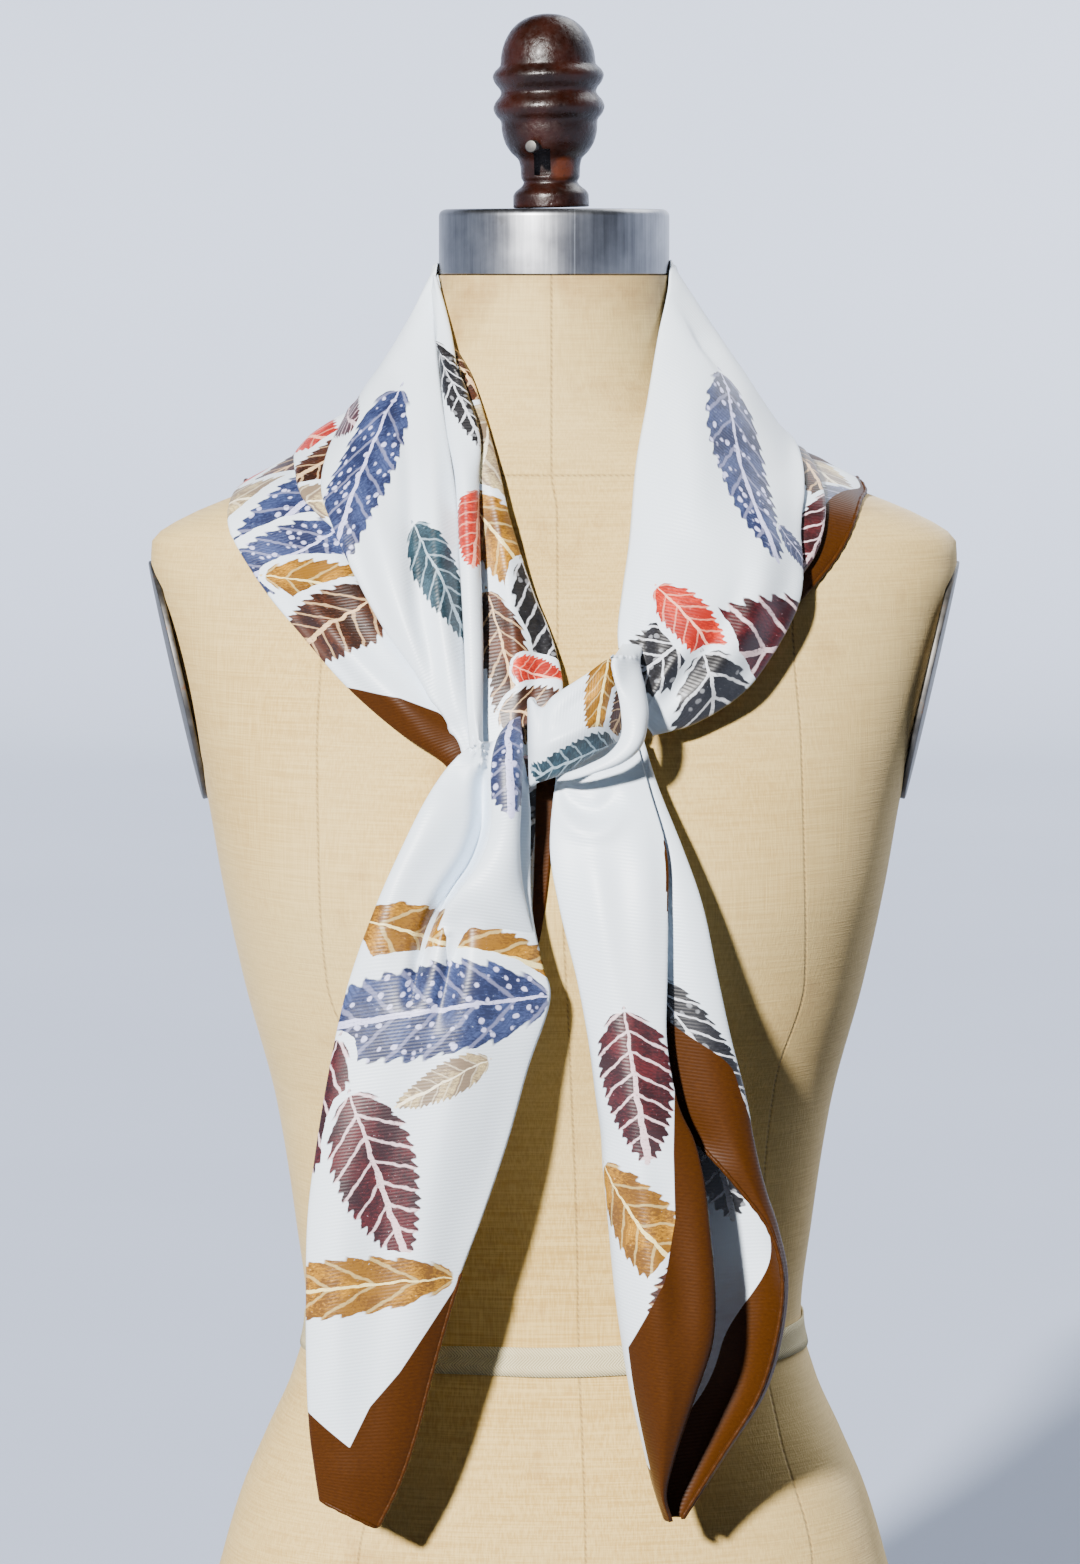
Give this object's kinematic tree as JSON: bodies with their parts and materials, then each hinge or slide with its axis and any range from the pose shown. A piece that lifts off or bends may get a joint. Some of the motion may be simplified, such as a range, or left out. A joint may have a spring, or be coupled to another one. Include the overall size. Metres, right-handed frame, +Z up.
{
  "type": "silk square scarf on a dress form",
  "caption": "Printed silk square folded on the diagonal, laid round the neck of a limbless linen dress form and knotted in front, its ends hanging down the chest.",
  "frame": {"origin": "middle of the dress form's flat bottom, on the surface it stands on", "axes": "+Z up, -Y out of the front of the form, where the knot is, +X to the right of someone who looks at the front"},
  "size_m": [0.3488, 0.2752, 0.8068],
  "materials": {
    "linen": "plain woven linen cover, matt",
    "twill_tape": "woven cotton tape, matt",
    "brushed_aluminium": "brushed",
    "steel_plate": "satin",
    "lacquered_iron": "dark brown gloss over cast iron",
    "silk_twill": "printed silk twill, soft sheen",
    "silk_border": "brown border of the silk twill, soft sheen"
  },
  "bodies": {
    "root": {"torso": "linen", "waist_tape": "twill_tape", "neck_band": "brushed_aluminium", "finial": "lacquered_iron", "finial_pin": "steel_plate", "arm_plate_left": "steel_plate", "arm_plate_right": "steel_plate", "collar_back": "silk_twill", "collar_left_inner": "silk_twill", "collar_left_outer": "silk_twill", "collar_left_fold": "silk_twill", "collar_left_panel": "silk_twill", "collar_left_roll": "silk_twill", "collar_right_outer": "silk_border", "collar_right_under": "silk_twill", "collar_right_panel": "silk_twill", "knot_wrap": "silk_twill", "knot_roll": "silk_twill", "knot_lobe": "silk_twill", "tail_left": "silk_twill", "tail_right": "silk_twill"}
  },
  "joints": []
}
